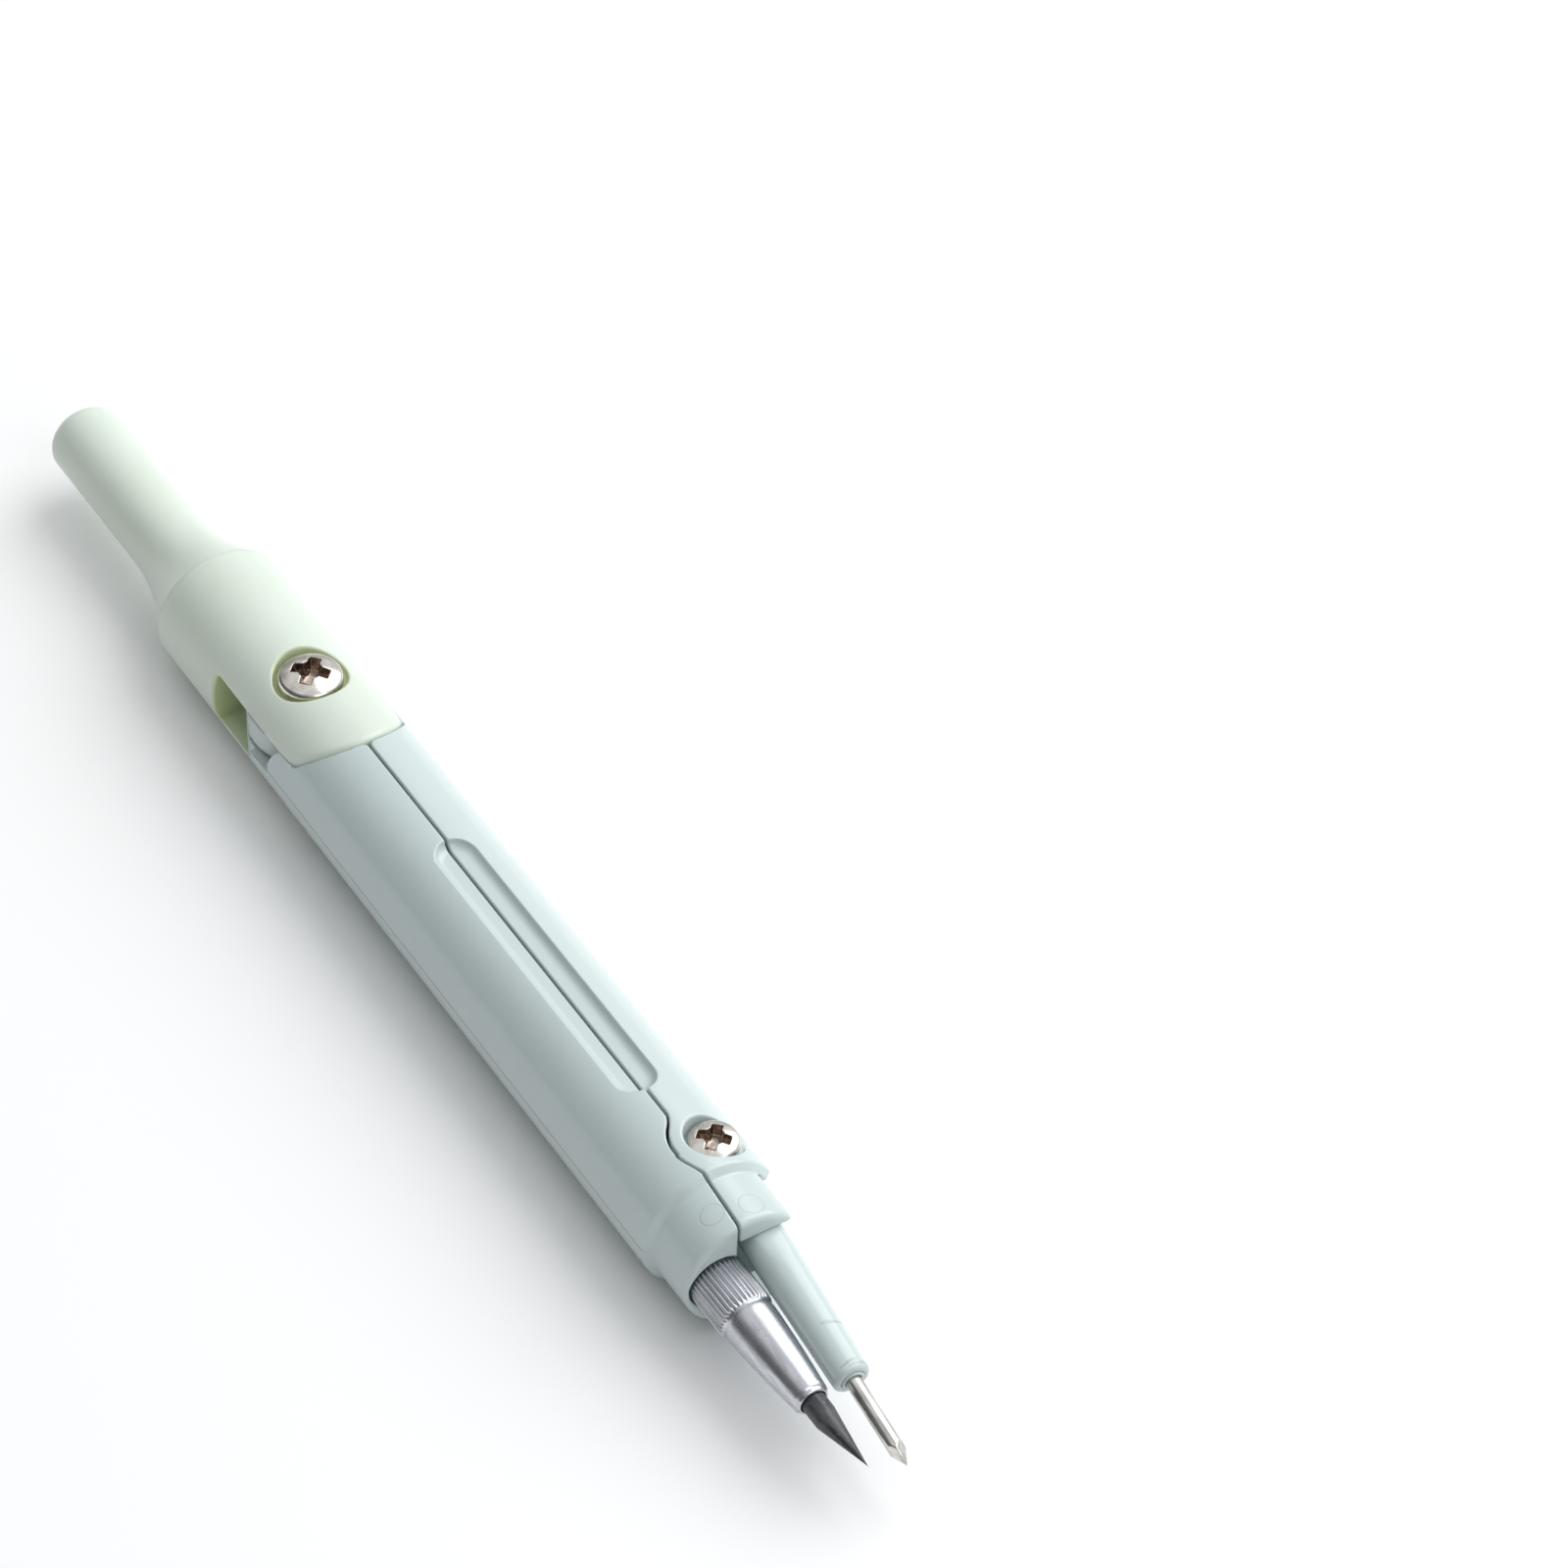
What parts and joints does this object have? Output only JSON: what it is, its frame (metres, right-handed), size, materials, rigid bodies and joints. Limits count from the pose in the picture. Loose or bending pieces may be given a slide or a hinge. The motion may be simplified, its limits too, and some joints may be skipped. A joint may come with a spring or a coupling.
{
  "type": "drawing compass",
  "caption": "Closed pocket drawing compass with slim handle, twin painted legs, pivoting steel needle arm and screw-clutch 2 mm lead holder.",
  "frame": {"origin": "middle of the closed compass's box, on the surface it lies on", "axes": "+X along the compass towards the needle and lead points, +Y towards the needle leg, +Z out of the front face that holds the screw heads"},
  "size_m": [0.13, 0.0118, 0.0117],
  "materials": {
    "head_plastic": "satin",
    "leg_paint": "gloss",
    "screw_steel": "nickel plated",
    "washer_steel": "bright",
    "needle_steel": "bright drawn wire",
    "nut_metal": "satin turned",
    "collet_brass": "turned",
    "graphite": "sharpened graphite with a sheen"
  },
  "bodies": {
    "head": {"head_handle": "head_plastic", "hinge_screw": "screw_steel", "hinge_nut": "screw_steel", "hinge_washer": "washer_steel"},
    "pencil_side": {"pencil_leg": "leg_paint", "lead_collet": "collet_brass"},
    "nut": {"clutch_nut": "nut_metal"},
    "lead_stick": {"lead": "graphite"},
    "needle_side": {"needle_leg": "leg_paint", "knee_screw": "screw_steel", "knee_nut": "screw_steel", "knee_washer": "washer_steel"},
    "arm": {"needle_arm": "leg_paint", "needle_sleeve": "leg_paint", "needle": "needle_steel"}
  },
  "joints": [
    {"name": "pencil_leg_swing", "type": "hinge", "parent": "head", "child": "pencil_side", "pos_m": [-0.024, 0, 0.00568], "axis": [0, 0, -1], "range_deg": [0, 45]},
    {"name": "needle_leg_swing", "type": "hinge", "parent": "head", "child": "needle_side", "pos_m": [-0.024, 0, 0.00568], "axis": [0, 0, 1], "range_deg": [0, 45]},
    {"name": "knee_pivot", "type": "hinge", "parent": "needle_side", "child": "arm", "pos_m": [0.0349, 0.00215, 0.00568], "axis": [0, 0, 1], "range_deg": [-45, 0]},
    {"name": "clutch_nut_turn", "type": "hinge", "parent": "pencil_side", "child": "nut", "pos_m": [0.0465, -0.00255, 0.00568], "axis": [1, 0, 0], "range_deg": [-180, 180]},
    {"name": "lead_slide", "type": "slide", "parent": "pencil_side", "child": "lead_stick", "axis": [1, 0, 0], "range_m": [-0.005, 0.004]}
  ],
  "couplings": [
    {"joint": "knee_pivot", "follows": "needle_leg_swing", "ratio": -1}
  ]
}
